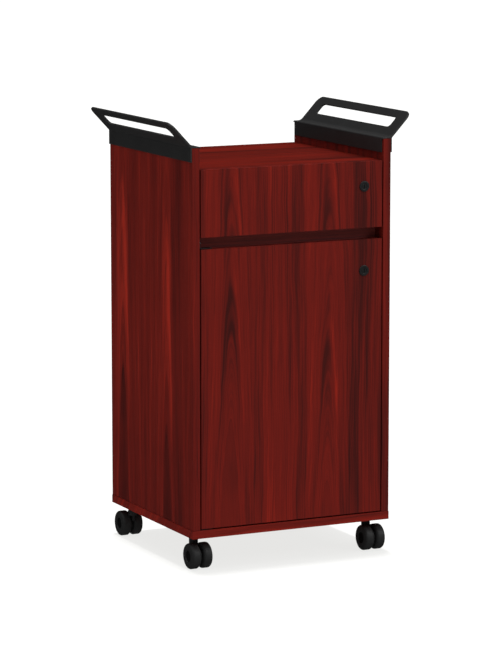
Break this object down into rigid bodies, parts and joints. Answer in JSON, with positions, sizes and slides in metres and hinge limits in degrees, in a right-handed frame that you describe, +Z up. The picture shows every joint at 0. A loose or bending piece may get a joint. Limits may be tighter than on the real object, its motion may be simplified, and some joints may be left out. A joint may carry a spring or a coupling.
{
  "type": "mobile cabinet lectern",
  "caption": "Mobile cabinet lectern with a recessed tray top, a lockable drawer above a lockable door, sloping side handles and twin-wheel swivel casters.",
  "frame": {"origin": "on the floor, under the middle of the object", "axes": "+Z up, the front with drawer and door faces -Y, +X to the right seen from the front"},
  "size_m": [0.6178, 0.462, 1.0366],
  "materials": {
    "mahogany_laminate": "satin dark red mahogany laminate",
    "drawer_box_board": "light birch foil",
    "black_powder_coat": "black powder coat",
    "black_lock_metal": "black plated zinc",
    "zinc_plate": "zinc plated steel",
    "black_nylon": "moulded black nylon"
  },
  "bodies": {
    "cabinet": {"side_panel_left": "mahogany_laminate", "side_panel_right": "mahogany_laminate", "top_panel": "mahogany_laminate", "back_panel": "mahogany_laminate", "pull_rail": "mahogany_laminate", "divider_panel": "mahogany_laminate", "shelf": "mahogany_laminate", "bottom_panel": "mahogany_laminate", "shelf_pin_left_front": "zinc_plate", "shelf_pin_left_back": "zinc_plate", "shelf_pin_right_front": "zinc_plate", "shelf_pin_right_back": "zinc_plate", "handle_left": "black_powder_coat", "handle_right": "black_powder_coat", "drawer_strike": "zinc_plate", "door_strike": "zinc_plate", "door_top_bracket": "black_powder_coat", "door_bottom_pivot": "black_powder_coat", "slide_left_cabinet": "zinc_plate", "slide_right_cabinet": "zinc_plate", "caster_front_left_stem": "zinc_plate", "caster_front_right_stem": "zinc_plate", "caster_back_left_stem": "zinc_plate", "caster_back_right_stem": "zinc_plate"},
    "drawer": {"drawer_front": "mahogany_laminate", "drawer_side_left": "drawer_box_board", "drawer_side_right": "drawer_box_board", "drawer_inner_front": "drawer_box_board", "drawer_back": "drawer_box_board", "drawer_bottom": "drawer_box_board", "drawer_lock_body": "black_lock_metal", "drawer_lock_nut": "zinc_plate", "slide_left_drawer": "zinc_plate", "slide_right_drawer": "zinc_plate"},
    "slide_left_middle": {"slide_left_middle": "zinc_plate"},
    "slide_right_middle": {"slide_right_middle": "zinc_plate"},
    "drawer_lock": {"drawer_lock_plug": "black_lock_metal", "drawer_lock_cam": "zinc_plate"},
    "door": {"door": "mahogany_laminate", "door_lock_body": "black_lock_metal", "door_lock_nut": "zinc_plate"},
    "door_lock": {"door_lock_plug": "black_lock_metal", "door_lock_cam": "zinc_plate"},
    "caster_front_left": {"caster_front_left_hood": "black_nylon", "caster_front_left_axle": "zinc_plate"},
    "caster_front_left_wheel_left": {"caster_front_left_wheel_left": "black_nylon"},
    "caster_front_left_wheel_right": {"caster_front_left_wheel_right": "black_nylon"},
    "caster_front_right": {"caster_front_right_hood": "black_nylon", "caster_front_right_axle": "zinc_plate"},
    "caster_front_right_wheel_left": {"caster_front_right_wheel_left": "black_nylon"},
    "caster_front_right_wheel_right": {"caster_front_right_wheel_right": "black_nylon"},
    "caster_back_left": {"caster_back_left_hood": "black_nylon", "caster_back_left_axle": "zinc_plate"},
    "caster_back_left_wheel_left": {"caster_back_left_wheel_left": "black_nylon"},
    "caster_back_left_wheel_right": {"caster_back_left_wheel_right": "black_nylon"},
    "caster_back_right": {"caster_back_right_hood": "black_nylon", "caster_back_right_axle": "zinc_plate"},
    "caster_back_right_wheel_left": {"caster_back_right_wheel_left": "black_nylon"},
    "caster_back_right_wheel_right": {"caster_back_right_wheel_right": "black_nylon"}
  },
  "joints": [
    {"name": "drawer_slide", "type": "slide", "parent": "cabinet", "child": "drawer", "axis": [0, -1, 0], "range_m": [0, 0.35]},
    {"name": "slide_left_extend", "type": "slide", "parent": "cabinet", "child": "slide_left_middle", "axis": [0, -1, 0], "range_m": [0, 0.175]},
    {"name": "slide_right_extend", "type": "slide", "parent": "cabinet", "child": "slide_right_middle", "axis": [0, -1, 0], "range_m": [0, 0.175]},
    {"name": "drawer_lock_turn", "type": "hinge", "parent": "drawer", "child": "drawer_lock", "pos_m": [0.185, -0.229, 0.869], "axis": [0, 1, 0], "range_deg": [0, 90]},
    {"name": "door_swing", "type": "hinge", "parent": "cabinet", "child": "door", "pos_m": [-0.2122, -0.2195, 0.099], "axis": [0, 0, -1], "range_deg": [0, 110]},
    {"name": "door_lock_turn", "type": "hinge", "parent": "door", "child": "door_lock", "pos_m": [0.185, -0.229, 0.6726], "axis": [0, -1, 0], "range_deg": [0, 90]},
    {"name": "caster_front_left_swivel", "type": "hinge", "parent": "cabinet", "child": "caster_front_left", "pos_m": [-0.225, -0.169, 0.06], "axis": [0, 0, 1], "continuous": true},
    {"name": "caster_front_left_wheel_left_spin", "type": "hinge", "parent": "caster_front_left", "child": "caster_front_left_wheel_left", "pos_m": [-0.225, -0.193, 0.03], "axis": [1, 0, 0], "continuous": true},
    {"name": "caster_front_left_wheel_right_spin", "type": "hinge", "parent": "caster_front_left", "child": "caster_front_left_wheel_right", "pos_m": [-0.225, -0.193, 0.03], "axis": [1, 0, 0], "continuous": true},
    {"name": "caster_front_right_swivel", "type": "hinge", "parent": "cabinet", "child": "caster_front_right", "pos_m": [0.225, -0.169, 0.06], "axis": [0, 0, 1], "continuous": true},
    {"name": "caster_front_right_wheel_left_spin", "type": "hinge", "parent": "caster_front_right", "child": "caster_front_right_wheel_left", "pos_m": [0.225, -0.193, 0.03], "axis": [1, 0, 0], "continuous": true},
    {"name": "caster_front_right_wheel_right_spin", "type": "hinge", "parent": "caster_front_right", "child": "caster_front_right_wheel_right", "pos_m": [0.225, -0.193, 0.03], "axis": [1, 0, 0], "continuous": true},
    {"name": "caster_back_left_swivel", "type": "hinge", "parent": "cabinet", "child": "caster_back_left", "pos_m": [-0.225, 0.177, 0.06], "axis": [0, 0, 1], "continuous": true},
    {"name": "caster_back_left_wheel_left_spin", "type": "hinge", "parent": "caster_back_left", "child": "caster_back_left_wheel_left", "pos_m": [-0.225, 0.201, 0.03], "axis": [1, 0, 0], "continuous": true},
    {"name": "caster_back_left_wheel_right_spin", "type": "hinge", "parent": "caster_back_left", "child": "caster_back_left_wheel_right", "pos_m": [-0.225, 0.201, 0.03], "axis": [1, 0, 0], "continuous": true},
    {"name": "caster_back_right_swivel", "type": "hinge", "parent": "cabinet", "child": "caster_back_right", "pos_m": [0.225, 0.177, 0.06], "axis": [0, 0, 1], "continuous": true},
    {"name": "caster_back_right_wheel_left_spin", "type": "hinge", "parent": "caster_back_right", "child": "caster_back_right_wheel_left", "pos_m": [0.225, 0.201, 0.03], "axis": [1, 0, 0], "continuous": true},
    {"name": "caster_back_right_wheel_right_spin", "type": "hinge", "parent": "caster_back_right", "child": "caster_back_right_wheel_right", "pos_m": [0.225, 0.201, 0.03], "axis": [1, 0, 0], "continuous": true}
  ],
  "couplings": [
    {"joint": "slide_left_extend", "follows": "drawer_slide", "ratio": 0.5},
    {"joint": "slide_right_extend", "follows": "drawer_slide", "ratio": 0.5}
  ]
}
